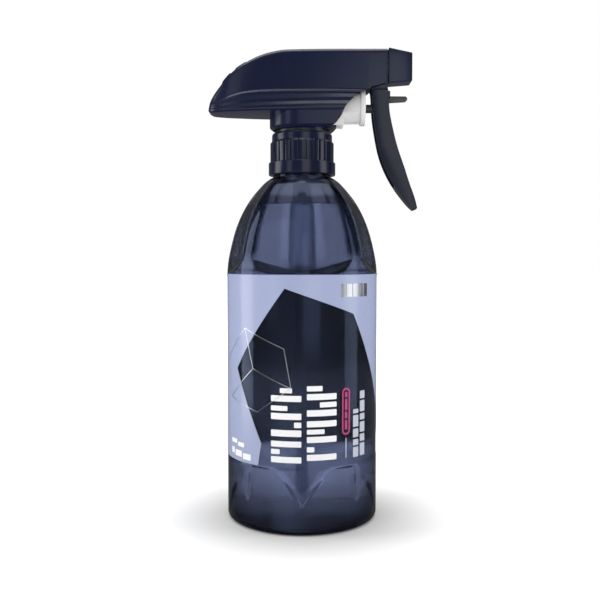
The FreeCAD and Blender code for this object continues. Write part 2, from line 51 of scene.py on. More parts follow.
# ---------------------------------------------------------------- curves and tables
def pchip(table, x):
    """Monotone cubic through a table of (x, y)."""
    t = np.array(table, float)
    xs, ys = t[:, 0], t[:, 1]
    x = np.clip(np.asarray(x, float), xs[0], xs[-1])
    h, d = np.diff(xs), np.diff(ys) / np.diff(xs)
    m = np.zeros(len(xs))
    for i in range(1, len(xs) - 1):
        if d[i - 1] * d[i] > 0:
            w1, w2 = 2 * h[i] + h[i - 1], h[i] + 2 * h[i - 1]
            m[i] = (w1 + w2) / (w1 / d[i - 1] + w2 / d[i])
    m[0], m[-1] = d[0], d[-1]
    k = np.clip(np.searchsorted(xs, x, side="right") - 1, 0, len(h) - 1)
    s = (x - xs[k]) / h[k]
    return ((1 + 2 * s) * (1 - s) ** 2 * ys[k] + s * (1 - s) ** 2 * h[k] * m[k]
            + s * s * (3 - 2 * s) * ys[k + 1] + s * s * (s - 1) * h[k] * m[k + 1])


def rounded(pts, radius, n=3, closed=True):
    """The polygon's corners turned into small arcs, always the same number of points."""
    pts = [np.array(p, float) for p in pts]
    out = []
    count = len(pts)
    for i, p in enumerate(pts):
        if not closed and i in (0, count - 1):
            out.append(p)
            continue
        a, b = pts[i - 1] - p, pts[(i + 1) % count] - p
        la, lb = np.linalg.norm(a), np.linalg.norm(b)
        r = radius[i] if isinstance(radius, (list, tuple)) else radius
        t = min(r, 0.45 * la, 0.45 * lb)
        q0, q1 = p + a / max(la, 1e-9) * t, p + b / max(lb, 1e-9) * t
        for j in range(n + 1):
            s = j / n
            out.append((1 - s) ** 2 * q0 + 2 * s * (1 - s) * p + s * s * q1)
    return out


# ---------------------------------------------------------------- mesh helpers
def new_object(name, verts, faces, mat, sharp=35.0):
    me = bpy.data.meshes.new(name)
    me.from_pydata([tuple(v) for v in verts], [], [tuple(f) for f in faces])
    me.validate()
    ob = bpy.data.objects.new(name, me)
    bpy.context.scene.collection.objects.link(ob)
    dress(ob, mat, sharp)
    return ob


def dress(ob, mat, sharp=35.0):
    me = ob.data
    me.materials.clear()
    if mat is not None:
        me.materials.append(mat)
    me.shade_smooth()
    if sharp:
        me.set_sharp_from_angle(angle=math.radians(sharp))


def clean(ob, dist=1e-6):
    bm = bmesh.new()
    bm.from_mesh(ob.data)
    bmesh.ops.remove_doubles(bm, verts=bm.verts, dist=dist)
    bmesh.ops.recalc_face_normals(bm, faces=bm.faces)
    bm.to_mesh(ob.data)
    bm.free()


def loft(name, rings, mat=None, cap=True, sharp=35.0):
    """Closed rings of equal length, joined in order."""
    n = len(rings[0])
    verts = [v for r in rings for v in r]
    faces = []
    for i in range(len(rings) - 1):
        a, b = i * n, (i + 1) * n
        for j in range(n):
            k = (j + 1) % n
            faces.append((a + j, a + k, b + k, b + j))
    if cap:
        faces.append(tuple(range(n))[::-1])
        faces.append(tuple(range((len(rings) - 1) * n, len(rings) * n)))
    ob = new_object(name, verts, faces, mat, sharp)
    clean(ob)
    return ob


def lathe(name, prof, mat, cols=128, axis="Z", origin=(0, 0, 0), sharp=35.0):
    """A closed (radius, height) outline turned about an axis, in metres."""
    verts, faces, rows = [], [], []
    o = Vector(origin)
    for r, h in prof:
        row = []
        if r < 1e-7:
            row = [len(verts)] * cols
            verts.append((0, 0, h))
        else:
            for j in range(cols):
                a = 2 * math.pi * j / cols
                row.append(len(verts))
                verts.append((r * math.cos(a), r * math.sin(a), h))
        rows.append(row)
    count = len(prof)
    for i in range(count):
        a, b = rows[i], rows[(i + 1) % count]
        for j in range(cols):
            k = (j + 1) % cols
            f = []
            for v in (a[j], a[k], b[k], b[j]):
                if v not in f:
                    f.append(v)
            if len(f) > 2:
                faces.append(f)
    if axis == "X":
        verts = [(h, x, y) for x, y, h in verts]
    verts = [Vector(v) + o for v in verts]
    ob = new_object(name, verts, faces, mat, sharp)
    clean(ob, 1e-7)
    return ob


def boolean(ob, tool, op):
    m = ob.modifiers.new("cut", "BOOLEAN")
    m.operation, m.solver, m.object = op, "EXACT", tool
    dg = bpy.context.evaluated_depsgraph_get()
    me = bpy.data.meshes.new_from_object(ob.evaluated_get(dg))
    ob.modifiers.clear()
    ob.data = me
    bpy.data.objects.remove(tool)
    return ob


def softened(node, name, width, mat, angle=32.0, segments=2, sharp=40.0, body=None):
    """A finer piece for a CAD node: its faces joined up and its edges rounded off, then laid over the same place."""
    src = NODES[node]
    me = src.data.copy()
    me.name = name
    ob = bpy.data.objects.new(name, me)
    bpy.context.scene.collection.objects.link(ob)
    bm = bmesh.new()
    bm.from_mesh(me)
    bm.transform(src.matrix_world)
    bmesh.ops.remove_doubles(bm, verts=bm.verts, dist=2e-6)
    bmesh.ops.dissolve_limit(bm, angle_limit=math.radians(0.6), verts=bm.verts, edges=bm.edges)
    for e in bm.edges:
        e.smooth = True
    bm.to_mesh(me)
    bm.free()
    m = ob.modifiers.new("round", "BEVEL")
    m.width, m.segments, m.limit_method, m.angle_limit = width, segments, "ANGLE", math.radians(angle)
    m.use_clamp_overlap, m.miter_outer = True, "MITER_ARC"
    dg = bpy.context.evaluated_depsgraph_get()
    made = bpy.data.meshes.new_from_object(ob.evaluated_get(dg))
    ob.modifiers.clear()
    ob.data = made
    dress(ob, mat, sharp)
    return ob


def place(ob, body, *nodes, slot=None):
    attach(ob, body)
    if nodes:
        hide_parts(*nodes)
    return ob


# ---------------------------------------------------------------- materials
def material(name):
    m = bpy.data.materials.new(name)
    m.use_nodes = True
    nt = m.node_tree
    nt.nodes.clear()
    out = nt.nodes.new("ShaderNodeOutputMaterial")
    bsdf = nt.nodes.new("ShaderNodeBsdfPrincipled")
    nt.links.new(bsdf.outputs[0], out.inputs[0])
    return m, nt, bsdf


def grain(nt, scale, detail=4.0, rough=0.55):
    tc = nt.nodes.new("ShaderNodeTexCoord")
    n = nt.nodes.new("ShaderNodeTexNoise")
    n.inputs["Scale"].default_value = scale
    n.inputs["Detail"].default_value = detail
    n.inputs["Roughness"].default_value = rough
    nt.links.new(tc.outputs["Object"], n.inputs["Vector"])
    return n


def ramp(nt, src, stops):
    r = nt.nodes.new("ShaderNodeValToRGB")
    r.color_ramp.elements[0].position, r.color_ramp.elements[0].color = stops[0][0], (*stops[0][1], 1)
    r.color_ramp.elements[1].position, r.color_ramp.elements[1].color = stops[-1][0], (*stops[-1][1], 1)
    for p, c in stops[1:-1]:
        e = r.color_ramp.elements.new(p)
        e.color = (*c, 1)
    nt.links.new(src, r.inputs[0])
    return r


def spread(nt, src, lo, hi):
    m = nt.nodes.new("ShaderNodeMapRange")
    m.inputs["To Min"].default_value, m.inputs["To Max"].default_value = lo, hi
    nt.links.new(src, m.inputs["Value"])
    return m


def bump(nt, bsdf, src, strength, distance):
    b = nt.nodes.new("ShaderNodeBump")
    b.inputs["Strength"].default_value, b.inputs["Distance"].default_value = strength, distance
    nt.links.new(src, b.inputs["Height"])
    nt.links.new(b.outputs[0], bsdf.inputs["Normal"])
    return b


def plastic(name, colour, rough, vary=0.10, spark=2600.0, height=0.00002, strength=0.25, ior=1.5, coat=0.0):
    """Moulded plastic: slight flow variation in its colour and gloss, and a fine spark-eroded surface."""
    m, nt, b = material(name)
    flow = grain(nt, 38.0, 3.0)
    c0 = tuple(c * (1 - vary) for c in colour)
    c1 = tuple(min(1.0, c * (1 + vary)) for c in colour)
    nt.links.new(ramp(nt, flow.outputs[0], [(0.3, c0), (0.7, c1)]).outputs[0], b.inputs["Base Color"])
    fine = grain(nt, spark, 2.0)
    nt.links.new(spread(nt, grain(nt, 120.0, 5.0).outputs[0], rough * 0.85, rough * 1.15).outputs[0], b.inputs["Roughness"])
    bump(nt, b, fine.outputs[0], strength, height)
    b.inputs["IOR"].default_value = ior
    b.inputs["Coat Weight"].default_value = coat
    b.inputs["Coat Roughness"].default_value = 0.12
    return m


def clear_plastic(name, colour, rough, clear, ior=1.45, thick=0.2, ridges=False, cast=(1.0, 1.0, 1.0)):
    m, nt, b = material(name)
    flow = ramp(nt, grain(nt, 26.0, 3.0).outputs[0], [(0.3, (0.93, 0.93, 0.93)), (0.7, (1.0, 1.0, 1.0))])
    edge = nt.nodes.new("ShaderNodeLayerWeight")
    edge.inputs["Blend"].default_value = 0.5
    wall = ramp(nt, edge.outputs["Facing"], [(0.0, colour), (0.25, tuple(c * (1 - 0.12 * (1 - thick)) for c in colour)), (0.55, tuple(c * (0.5 + 0.5 * thick) for c in colour)),
                                             (0.80, tuple(c * thick for c in colour)), (1.0, tuple(c * thick * 0.5 for c in colour))])
    mix = nt.nodes.new("ShaderNodeMix")
    mix.data_type, mix.blend_type = "RGBA", "MULTIPLY"
    mix.inputs["Factor"].default_value = 1.0
    nt.links.new(wall.outputs[0], mix.inputs["A"])
    nt.links.new(flow.outputs[0], mix.inputs["B"])
    tint = mix.outputs["Result"]
    if ridges:
        # a dark band along the four main ridges of the shoulder: partly the darker tint of the thicker wall there,
        # mostly painted shade
        tc, sep = nt.nodes.new("ShaderNodeTexCoord"), nt.nodes.new("ShaderNodeSeparateXYZ")
        nt.links.new(tc.outputs["Object"], sep.inputs[0])

        def calc(op, p, q=0.0):
            n = nt.nodes.new("ShaderNodeMath")
            n.operation = op
            for i, v in enumerate((p, q)):
                if isinstance(v, (int, float)):
                    n.inputs[i].default_value = v
                else:
                    nt.links.new(v, n.inputs[i])
            return n.outputs[0]

        def band(v, a, c):
            r = nt.nodes.new("ShaderNodeMapRange")
            r.interpolation_type = "SMOOTHSTEP"
            r.inputs["From Min"].default_value, r.inputs["From Max"].default_value = a, c
            nt.links.new(v, r.inputs["Value"])
            return r.outputs[0]
        x, y, z = (sep.outputs[k] for k in "XYZ")
        rr = calc("ADD", calc("MULTIPLY", x, x), calc("MULTIPLY", y, y))
        ridge = calc("DIVIDE", calc("ABSOLUTE", calc("MULTIPLY", calc("MULTIPLY", x, y), 2.0)), calc("MAXIMUM", rr, 1e-6))
        ridge_shade_mask = calc("MULTIPLY", band(ridge, 0.955, 0.985), calc("MULTIPLY", band(z, 0.121, 0.128), band(z, 0.166, 0.160)))
        dark = nt.nodes.new("ShaderNodeMix")
        dark.data_type, dark.blend_type = "RGBA", "MULTIPLY"
        dark.inputs["B"].default_value = (0.09, 0.10, 0.15, 1)
        nt.links.new(ridge_shade_mask, dark.inputs["Factor"])
        nt.links.new(tint, dark.inputs["A"])
        tint = dark.outputs["Result"]
        # the drawn-in facets of the foot are thinner and so clearer, and the edges between facets get a painted
        # highlight
        for name, gain in (("wall_thin", (1.9, 1.9, 1.8, 1)), ("edge_highlight", (2.0, 2.0, 2.0, 1))):
            at = nt.nodes.new("ShaderNodeAttribute")
            at.attribute_name = name
            lift = nt.nodes.new("ShaderNodeMix")
            lift.data_type, lift.blend_type = "RGBA", "MULTIPLY"
            lift.inputs["B"].default_value = gain
            nt.links.new(at.outputs["Fac"], lift.inputs["Factor"])
            nt.links.new(tint, lift.inputs["A"])
            tint = lift.outputs["Result"]
    nt.links.new(tint, b.inputs["Base Color"])
    nt.links.new(spread(nt, grain(nt, 90.0, 4.0).outputs[0], rough * 0.8, rough * 1.2).outputs[0], b.inputs["Roughness"])
    bump(nt, b, grain(nt, 34.0, 1.0).outputs[0], 0.04, 0.0004)
    b.inputs["Transmission Weight"].default_value = clear
    b.inputs["Specular Tint"].default_value = (*cast, 1.0)
    b.inputs["IOR"].default_value = ior
    return m


def film(name, top, low, rough=0.34):
    """Printed film: flat ink with a faint tone change down its height and the fine tooth of the print."""
    m, nt, b = material(name)
    tc = nt.nodes.new("ShaderNodeTexCoord")
    sep = nt.nodes.new("ShaderNodeSeparateXYZ")
    nt.links.new(tc.outputs["Object"], sep.inputs[0])
    z = nt.nodes.new("ShaderNodeMapRange")
    z.inputs["From Min"].default_value, z.inputs["From Max"].default_value = 0.031, 0.117
    nt.links.new(sep.outputs["Z"], z.inputs["Value"])
    base = ramp(nt, z.outputs[0], [(0.0, low), (1.0, top)])
    mix = nt.nodes.new("ShaderNodeMix")
    mix.data_type, mix.blend_type = "RGBA", "MULTIPLY"
    mix.inputs["Factor"].default_value = 1.0
    tooth = ramp(nt, grain(nt, 900.0, 2.0).outputs[0], [(0.35, (0.97, 0.97, 0.97)), (0.65, (1.0, 1.0, 1.0))])
    nt.links.new(base.outputs[0], mix.inputs["A"])
    nt.links.new(tooth.outputs[0], mix.inputs["B"])
    nt.links.new(mix.outputs["Result"], b.inputs["Base Color"])
    nt.links.new(spread(nt, grain(nt, 300.0, 3.0).outputs[0], rough * 0.9, rough * 1.1).outputs[0], b.inputs["Roughness"])
    bump(nt, b, grain(nt, 1400.0, 2.0).outputs[0], 0.08, 0.00002)
    return m


def metal(name, colour, rough):
    m, nt, b = material(name)
    flow = grain(nt, 400.0, 4.0)
    c0 = tuple(c * 0.9 for c in colour)
    nt.links.new(ramp(nt, flow.outputs[0], [(0.3, c0), (0.7, colour)]).outputs[0], b.inputs["Base Color"])
    nt.links.new(spread(nt, flow.outputs[0], rough * 0.7, rough * 1.3).outputs[0], b.inputs["Roughness"])
    b.inputs["Metallic"].default_value = 1.0
    return m


HEAD = plastic("head_navy", (0.0046, 0.0078, 0.0285), 0.24)
TRIGGER = plastic("trigger_navy", (0.0050, 0.0075, 0.0200), 0.24)
COLLAR = plastic("collar_navy", (0.0045, 0.0070, 0.0240), 0.20)
DARK = plastic("dark_clip", (0.012, 0.014, 0.022), 0.32)
ROD = plastic("rod_grey", (0.045, 0.047, 0.052), 0.35)
WHITE = plastic("pump_white", (0.60, 0.60, 0.595), 0.38, vary=0.02)
NATURAL = plastic("natural_white", (0.66, 0.67, 0.66), 0.34, vary=0.03)
RUBBER = plastic("seal_rubber", (0.030, 0.030, 0.032), 0.62, vary=0.15, spark=1500.0)
STEEL = metal("spring_steel", (0.62, 0.62, 0.60), 0.25)
BALL = metal("ball_steel", (0.70, 0.70, 0.69), 0.12)
PET = clear_plastic("bottle_pet", (0.245, 0.268, 0.365), 0.12, 0.975, ior=1.45, ridges=True, cast=(0.40, 0.55, 1.0))
FLUID = clear_plastic("fluid", (0.90, 0.93, 0.98), 0.02, 1.0, ior=1.34, thick=0.9)
TUBE = clear_plastic("tube_natural", (0.66, 0.70, 0.77), 0.14, 0.90, ior=1.15, thick=0.8)
LAVENDER = film("label_lavender", (0.315, 0.355, 0.525), (0.350, 0.392, 0.565), rough=0.20)
# the back of the label film: a dark navy of painted shade, standing in for the pale back that gets little light through
# the bottle
LABEL_BACK_SHADE = film("label_back_shade", (0.030, 0.042, 0.150), (0.030, 0.042, 0.150), rough=0.5)
INK_WHITE = film("ink_white", (0.86, 0.86, 0.87), (0.86, 0.86, 0.87))
INK_MAGENTA = film("ink_magenta", (0.42, 0.045, 0.17), (0.42, 0.045, 0.17))
INK_PALE = film("ink_pale", (0.50, 0.52, 0.62), (0.50, 0.52, 0.62))
INK_NAVY = film("ink_navy", (0.035, 0.045, 0.14), (0.035, 0.045, 0.14))
FOIL = metal("foil_silver", (0.78, 0.79, 0.82), 0.30)


# ---------------------------------------------------------------- bottle
SHOULDER = [(35.95, 117.3), (35.72, 120.2), (35.35, 123.2), (34.8, 126.2), (34.15, 129.2), (33.1, 133.4),
            (31.9, 137.5), (30.3, 141.8), (28.3, 146.1), (25.9, 150.3), (22.8, 154.6), (20.3, 157.5),
            (17.6, 160.3), (15.6, 161.7)]
PANEL_C = 0.950
WALL = 1.05


def blur(field, sigma_rows, sigma_cols):
    def kernel(s):
        n = max(1, int(3 * s))
        k = np.exp(-0.5 * (np.arange(-n, n + 1) / s) ** 2)
        return k / k.sum(), n
    k, n = kernel(sigma_cols)
    out = sum(w * np.roll(field, i - n, axis=1) for i, w in enumerate(k))
    k, n = kernel(sigma_rows)
    pad = np.pad(out, ((n, n), (0, 0)), mode="edge")
    return sum(w * pad[i:i + len(field)] for i, w in enumerate(k))


def inner_profile():
    """The cavity's (r, z), bottom to top, in mm."""
    low = [(0.0, 5.3), (8.0, 5.15), (15.6, 4.7), (25.6, 2.9), (28.9, 1.5), (32.2, 1.5), (34.0, 3.4), (33.9, 20.0),
           (33.9, 29.0), (34.9, 34.0), (34.9, 109.0)]
    out = [tuple(p) for p in rounded(low, 1.6, 3, closed=False)]
    for r, z in SHOULDER:
        out.append((r * PANEL_C - 0.9, z))
    out += [(11.7, 163.6), (10.95, 165.0), (10.9, 166.0), (10.9, 180.2)]
    return out


def bottle():
    """The outer wall is read off the CAD solid as a radius over angle and height, and its edges are softened."""
    src = NODES["bottle"]
    tree = BVHTree.FromObject(src, bpy.context.evaluated_depsgraph_get())
    cols = 384
    zs = np.concatenate([np.arange(2.3, 161.4, 0.45), np.arange(161.5, 180.15, 0.24)])
    ang = np.arange(cols) * 2 * math.pi / cols
    rad = np.zeros((len(zs), cols))
    for i, z in enumerate(zs):
        for j, a in enumerate(ang):
            c, s = math.sin(a), -math.cos(a)
            hit = tree.ray_cast(Vector((c * 0.06, s * 0.06, z * MM)), Vector((-c, -s, 0)), 0.06)
            rad[i, j] = 0.06 - hit[3] if hit[0] is not None else 0.0125
    rad = rad / MM
    for i in range(1, len(zs)):                   # rays that slipped between two triangles
        bad = (rad[i] < 12.0) | (np.abs(rad[i] - np.median(rad[i])) > 4.0)
        rad[i][bad] = np.median(rad[i])
    soft = blur(rad, 0.9, 0.8)
    w = np.clip((zs - 159.8) / 1.0, 0, 1)[:, None]
    rad = soft * (1 - w) + rad * w
    rows = []
    foot = rounded([(0.0, 4.2), (16.0, 3.6), (26.0, 1.6), (29.0, 0.0), (33.6, 0.0), (35.25, 0.55), (35.93, 2.2)], 0.9, 3, closed=False)
    for r, z in foot[:-1]:
        rows.append((np.full(cols, r), z))
    for i, z in enumerate(zs):
        rows.append((rad[i], z))
    rows.append((np.full(cols, 12.35), 180.05))
    rows.append((np.full(cols, 12.0), 180.2))
    for r, z in inner_profile()[::-1]:
        rows.append((np.full(cols, r), z))
    verts, faces, idx = [], [], []
    for r, z in rows:
        if float(np.max(r)) < 1e-6:
            idx.append([len(verts)] * cols)
            verts.append((0, 0, z * MM))
            continue
        idx.append(list(range(len(verts), len(verts) + cols)))
        verts += [(r[j] * MM * math.sin(ang[j]), -r[j] * MM * math.cos(ang[j]), z * MM) for j in range(cols)]
    for a, b in zip(idx, idx[1:]):
        for j in range(cols):
            k = (j + 1) % cols
            f = []
            for v in (a[j], a[k], b[k], b[j]):
                if v not in f:
                    f.append(v)
            if len(f) > 2:
                faces.append(f)
    ob = new_object("bottle_shell", verts, faces, PET, sharp=60)
    clean(ob, 1e-7)
    # how thin the wall is at the foot, and where the outer wall has an edge that gets a painted highlight
    edge = soft - blur(soft, 4.0, 4.0)
    thin_v, edge_highlight_v = [], []
    for v in ob.data.vertices:
        r, z = math.hypot(v.co.x, v.co.y) / MM, v.co.z / MM
        i = int(np.clip(np.searchsorted(zs, z), 0, len(zs) - 1))
        j = int(round(math.atan2(v.co.x, -v.co.y) / (2 * math.pi) * cols)) % cols
        outer = abs(r - rad[i, j]) < 0.25
        thin_v.append(float(np.clip((35.9 - r) / 0.9, 0, 1)) if outer and z < 33 else 0.0)
        main = abs(math.sin(2 * ang[j])) > 0.5
        edge_highlight_v.append(float(np.clip((edge[i, j] - 0.035) / 0.09, 0, 1)) if outer and (3 < z < 31 or (121 < z < 160 and not main)) else 0.0)
    for name, data in (("wall_thin", thin_v), ("edge_highlight", edge_highlight_v)):
        ob.data.attributes.new(name, "FLOAT", "POINT").data.foreach_set("value", data)
    return place(ob, "bottle", "bottle", slot="bottle_pet")


def fluid():
    """What fills the bottle, up to a little over the start of the shoulder's steep part."""
    level = 149.0
    prof = [(r, z) for r, z in inner_profile() if z < level - 0.8]
    top = pchip([(z, r * PANEL_C - 0.9) for r, z in SHOULDER], level)
    pts = [((r + 0.03) * MM if r > 0 else 0.0, (z - 0.02) * MM) for r, z in prof]
    pts.append(((float(top) + 0.03) * MM, level * MM))
    pts += [((float(top) - 0.5) * MM, (level - 0.35) * MM), ((float(top) - 1.6) * MM, (level - 0.6) * MM), (0.0, (level - 0.65) * MM)]
    ob = lathe("fluid", pts, FLUID, 160, sharp=60)
    return place(ob, "bottle", slot="bottle_pet")


# ---------------------------------------------------------------- label
def inside(loops, x, y):
    hit = False
    for lp in loops:
        for (x0, y0), (x1, y1) in zip(lp, lp[1:] + lp[:1]):
            if (y0 > y) != (y1 > y) and x < x0 + (y - y0) * (x1 - x0) / (y1 - y0):
                hit = not hit
    return hit


def wrap(name, loops, r0, r1, mat, slot="label_film", step=1.5):
    """A flat shape in (degrees from the front, mm up), wrapped round the bottle as a thin closed sheet."""
    verts, edges = [], []
    for lp in loops:
        base = len(verts)
        verts += [Vector(p) for p in lp]
        edges += [(base + i, base + (i + 1) % len(lp)) for i in range(len(lp))]
    xs = [v[0] for v in verts]
    ys = [v[1] for v in verts]
    lo, hi = min(xs), max(xs)
    k = math.ceil(lo / step)
    while k * step < hi:
        if k * step > lo + 1e-6:
            base = len(verts)
            verts += [Vector((k * step, min(ys))), Vector((k * step, max(ys)))]
            edges.append((base, base + 1))
        k += 1
    v2, _, f2, *_ = delaunay_2d_cdt(verts, edges, [], 0, 1e-5, False)
    tris = []
    for f in f2:
        cx, cy = sum(v2[i][0] for i in f) / 3, sum(v2[i][1] for i in f) / 3
        if inside(loops, cx, cy):
            tris.append(list(f))
    bm = bmesh.new()
    vs = []
    for p in v2:
        a = math.radians(p[0])
        vs.append(bm.verts.new((r1 * MM * math.sin(a), -r1 * MM * math.cos(a), p[1] * MM)))
    for t in tris:
        bm.faces.new([vs[i] for i in t])
    bmesh.ops.delete(bm, geom=[v for v in bm.verts if not v.link_faces], context="VERTS")
    bmesh.ops.remove_doubles(bm, verts=bm.verts, dist=1e-6)
    bmesh.ops.recalc_face_normals(bm, faces=bm.faces)
    if sum(f.normal.dot(Vector((f.calc_center_median()[0], f.calc_center_median()[1], 0))) for f in bm.faces) < 0:
        bmesh.ops.reverse_faces(bm, faces=bm.faces)
    n = len(bm.verts)
    bm.verts.index_update()
    top = [v.co.copy() for v in bm.verts]
    faces = [[v.index for v in f.verts] for f in bm.faces]
    rim = [(e.verts[0].index, e.verts[1].index, e) for e in bm.edges if len(e.link_faces) == 1]
    side = []
    for a, b, e in rim:
        f = e.link_faces[0]
        order = [v.index for v in f.verts]
        i = order.index(a)
        if order[(i + 1) % len(order)] == b:
            side.append((b, a, a + n, b + n))
        else:
            side.append((a, b, b + n, a + n))
    s = r0 / r1
    bot = [Vector((v.x * s, v.y * s, v.z)) for v in top]
    bm.free()
    ob = new_object(name, top + bot, faces + [[i + n for i in f[::-1]] for f in faces] + side, mat, sharp=40)
    return place(ob, "bottle", slot=slot)


def box_loop(a0, a1, z0, z1, r=0.0):
    """Rectangle with rounded corners; r in mm."""
    if r <= 0:
        return [(a0, z0), (a1, z0), (a1, z1), (a0, z1)]
    ra = math.degrees(r / 36.05)
    out = []
    for cx, cz, s in ((a1 - ra, z0 + r, -90), (a1 - ra, z1 - r, 0), (a0 + ra, z1 - r, 90), (a0 + ra, z0 + r, 180)):
        for i in range(6):
            t = math.radians(s + 90 * i / 5)
            out.append((cx + ra * math.cos(t), cz + r * math.sin(t)))
    return out


def stroke(p, q, w):
    """A thin bar from p to q in (degrees, mm), w mm wide."""
    k = 36.05 * math.pi / 180
    dx, dz = (q[0] - p[0]) * k, q[1] - p[1]
    n = math.hypot(dx, dz)
    ex, ez = dx / n * w * 0.45, dz / n * w * 0.45
    nx, nz = -dz / n * w / 2, dx / n * w / 2
    return [(p[0] + (nx - ex) / k, p[1] + nz - ez), (p[0] + (-nx - ex) / k, p[1] - nz - ez),
            (q[0] + (-nx + ex) / k, q[1] - nz + ez), (q[0] + (nx + ex) / k, q[1] + nz + ez)]


WINDOW = [(-12.5, 110.7), (40.0, 99.1), (75.8, 56.8), (97.0, 30.5), (-33.8, 30.5), (-33.8, 30.9), (-30.8, 41.0), (-55.8, 73.7)]


def label():
    r0, r1, r2 = 35.80, 36.00, 36.045
    sheet = [(-180.0, 30.8), (180.0, 30.8), (180.0, 117.0), (-180.0, 117.0)]
    win = [(a, max(z, 30.8)) for a, z in WINDOW]
    win = [(-12.5, 110.7), (40.0, 99.1), (75.8, 56.8), (97.0, 30.8), (-33.8, 30.8), (-30.8, 41.0), (-55.8, 73.7)]
    outer = [(-180.0, 30.8), (-33.8, 30.8), (-30.8, 41.0), (-55.8, 73.7), (-12.5, 110.7), (40.0, 99.1), (75.8, 56.8), (97.0, 30.8),
             (180.0, 30.8), (180.0, 117.0), (-180.0, 117.0)]
    ob = wrap("label_film", [outer], r0, r1, LAVENDER, step=2.0)
    # the side that faces the bottle takes the dark navy of painted shade
    ob.data.materials.append(LABEL_BACK_SHADE)
    for f in ob.data.polygons:                     # the side that faces the bottle
        if math.hypot(f.center.x, f.center.y) < (r0 + 0.01) * MM:
            f.material_index = 1
    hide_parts("label_wrap")
    wrap("label_top_line", [box_loop(-180, 180, 116.75, 117.04)], r1 - 0.02, r2, INK_NAVY)
    # two columns of plain blocks
    loops = []
    for a0, a1, z0, z1 in ((-22.7, -0.6, 33.2, 35.9), (-22.7, -16.2, 37.0, 39.2), (-22.7, -0.6, 40.3, 42.9),
                           (-22.7, -0.6, 45.0, 47.9), (-5.8, -0.6, 49.0, 51.4), (-22.7, -0.6, 52.6, 55.4), (-22.7, -10.5, 56.5, 58.7),
                           (-22.7, -0.6, 60.6, 63.3), (-16.0, -7.2, 64.4, 66.6),
                           (3.3, 25.2, 34.3, 37.0), (3.3, 8.6, 38.1, 40.4), (3.3, 25.2, 42.3, 45.0), (3.3, 16.0, 46.1, 48.2), (3.3, 25.2, 49.3, 52.0),
                           (3.3, 25.2, 54.1, 56.9), (12.6, 25.2, 58.0, 60.3), (3.3, 25.2, 61.4, 64.1), (3.3, 14.5, 65.3, 67.6)):
        loops.append(box_loop(a0, a1, z0, z1, 0.35))
    wrap("label_blocks", loops, 35.80, r2, INK_WHITE)
    wrap("label_pill", [box_loop(29.8, 36.7, 44.8, 66.0, 2.0), box_loop(31.0, 35.5, 45.6, 65.2, 1.3)], 35.80, r2, INK_MAGENTA)
    wrap("label_pill_bars", [box_loop(32.2, 34.3, z, z + h, 0.2) for z, h in ((47.2, 4.2), (52.2, 3.0), (56.0, 5.0), (61.8, 2.4))],
         35.80, r2, INK_MAGENTA)
    wrap("label_rule", [box_loop(32.95, 33.6, 34.2, 43.3)], 35.80, r2, INK_PALE)
    small = []
    z = 33.9
    for h in (5.4, 3.6, 4.8, 6.2, 2.8):
        small.append(box_loop(39.9, 45.2, z, z + h - 0.9, 0.3))
        z += h
    z = 34.0
    for h in (6.6, 4.2, 5.6, 3.8, 6.0, 4.4):
        small.append(box_loop(47.2, 52.5, z, z + h - 0.9, 0.3))
        z += h
    wrap("label_small_bars", small, 35.80, r2, INK_PALE)
    wrap("label_top_bars", [box_loop(a, b, 106.8, 112.7, 0.3) for a, b in ((28.9, 32.6), (33.6, 38.4), (39.4, 44.2), (45.2, 49.9), (50.9, 55.4))],
         r1 - 0.02, r2, FOIL)
    low = []
    for a0, a1, z0, z1 in ((-65.0, -56.5, 38.6, 40.6), (-55.2, -47.5, 37.6, 39.6), (-65.2, -60.5, 33.6, 36.4), (-59.0, -50.2, 32.9, 35.7), (-48.8, -40.5, 32.2, 35.0)):
        low.append(box_loop(a0, a1, z0, z1, 0.3))
    wrap("label_low_bars", low, r1 - 0.02, r2, INK_WHITE)
    # an open figure of thin lines, of the builder's own layout
    a, b, c, d, e, f = (-73.0, 76.0), (-46.0, 92.5), (-13.0, 84.0), (-8.0, 66.5), (-34.0, 55.0), (-64.0, 60.0)
    g = (-38.0, 74.5)
    over, under = [], []
    for p, q in ((a, b), (b, c), (c, d), (d, e), (e, f), (f, a), (g, b), (g, d), (g, f)):
        over.append(stroke(p, q, 0.24))
    for i, lp in enumerate(over):
        wrap("label_line_%d" % i, [lp], 35.80, r2, FOIL)


# ---------------------------------------------------------------- shroud
ZT = [(-44.5, 196.5), (-43.6, 198.6), (-42, 201.4), (-39, 205.4), (-34, 211.25), (-27, 216.2), (-18, 220.2), (-13, 221.4), (-8, 222.1), (4, 222.35), (16, 222.5), (28, 222.65), (40.5, 222.85)]
WT = [(-44.5, 1.3), (-43.6, 2.6), (-42, 3.4), (-39, 4.3), (-34, 5.3), (-27, 6.3), (-18, 7.2), (-8, 7.8), (4, 8.0), (16, 7.7), (28, 6.9), (40.5, 5.9)]
WH = [(-44.5, 2.0), (-43.6, 3.6), (-42, 4.8), (-39, 6.0), (-34, 7.3), (-27, 8.4), (-18, 9.3), (-8, 9.7), (4, 9.7), (16, 9.1), (28, 7.9), (40.5, 6.4)]
WR = [(-44.5, 3.2), (-43.6, 5.2), (-42, 6.9), (-39, 8.6), (-34, 10.2), (-27, 11.8), (-18, 13.3), (-8, 14.4), (4, 14.8), (16, 14.6), (28, 13.0), (40.5, 9.0)]
ZR1 = [(-44.5, 195.3), (-42, 196.4), (-39, 197.5), (-34, 199.4), (-27, 201.0), (-18, 201.6), (-8, 201.7), (40.5, 201.9)]
ZR2 = [(-44.5, 194.7), (-42, 195.4), (-39, 196.0), (-34, 196.8), (-27, 197.5), (-18, 197.8), (-8, 197.95), (16, 198.5), (40.5, 198.8)]
ZR3 = [(-44.5, 194.1), (-42, 193.9), (-39, 193.9), (-34, 194.1), (-27, 194.35), (-18, 194.6), (-8, 194.8), (4, 195.0), (40.5, 195.3)]
ZRIM = [(-44.5, 193.5), (-43.6, 193.0), (-42, 192.6), (40.5, 192.5)]
